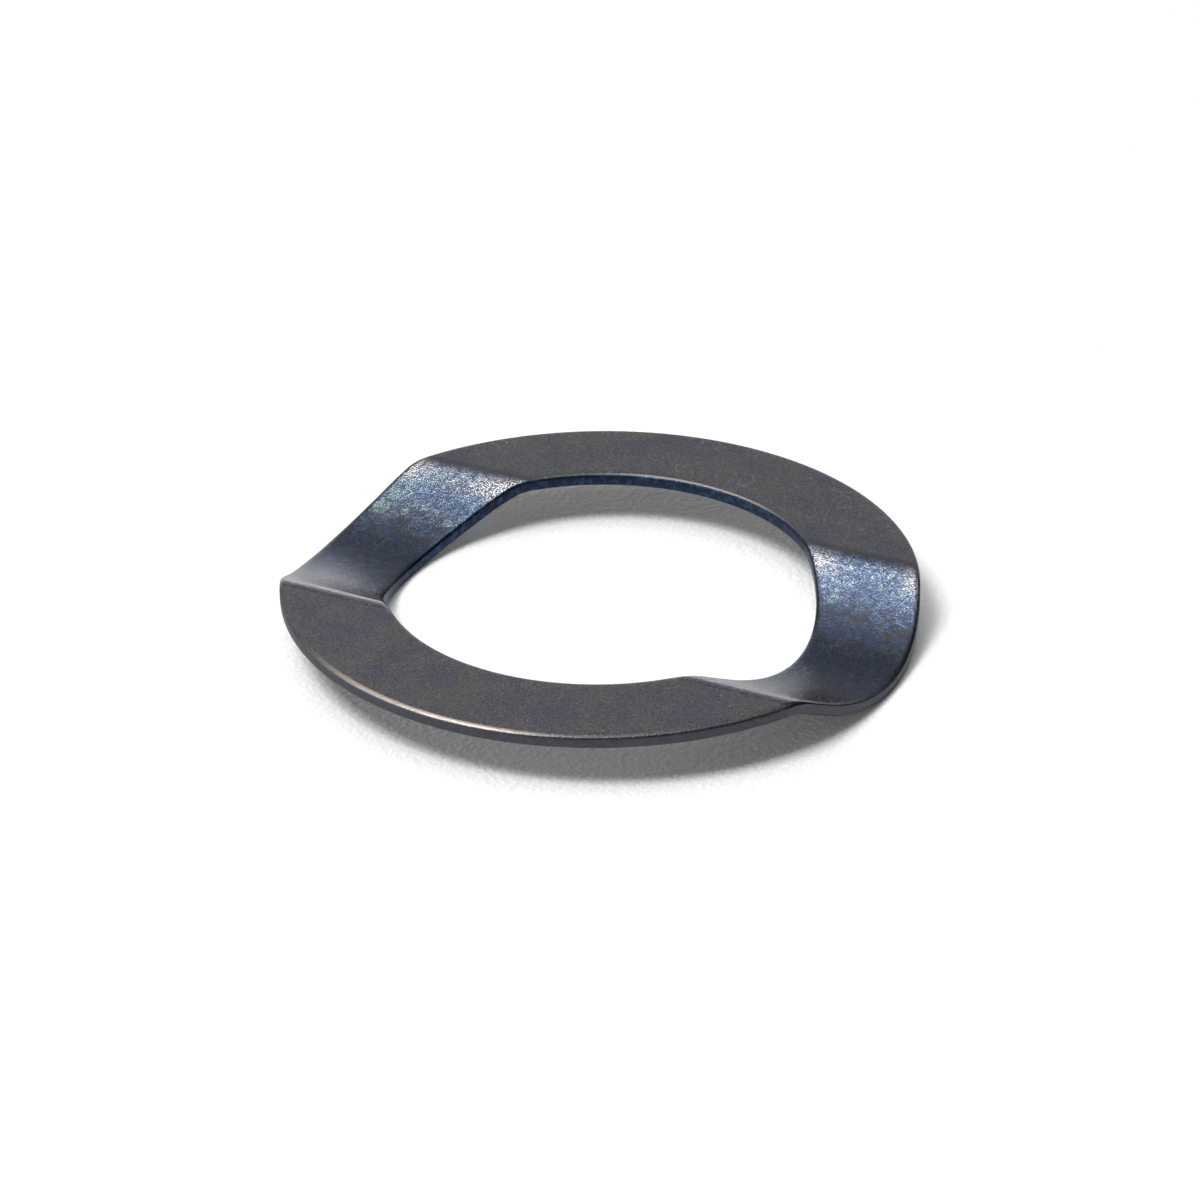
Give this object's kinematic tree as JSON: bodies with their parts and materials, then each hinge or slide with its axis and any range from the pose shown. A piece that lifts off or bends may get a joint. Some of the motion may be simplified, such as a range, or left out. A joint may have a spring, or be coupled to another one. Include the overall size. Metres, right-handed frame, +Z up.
{
  "type": "crimped spring washer",
  "caption": "Round spring washer of thin blued steel sheet, pressed into troughs and raised flats, that takes up end play on a shaft.",
  "frame": {"origin": "on the hole's axis, at the height of the troughs' lowest lines, where the washer stands", "axes": "+Z up along the hole's axis, X along the creases through both troughs, Y through both flats"},
  "size_m": [0.03, 0.03, 0.0026],
  "materials": {
    "blued_steel": "satin, blued"
  },
  "bodies": {
    "root": {"washer": "blued_steel"}
  },
  "joints": []
}
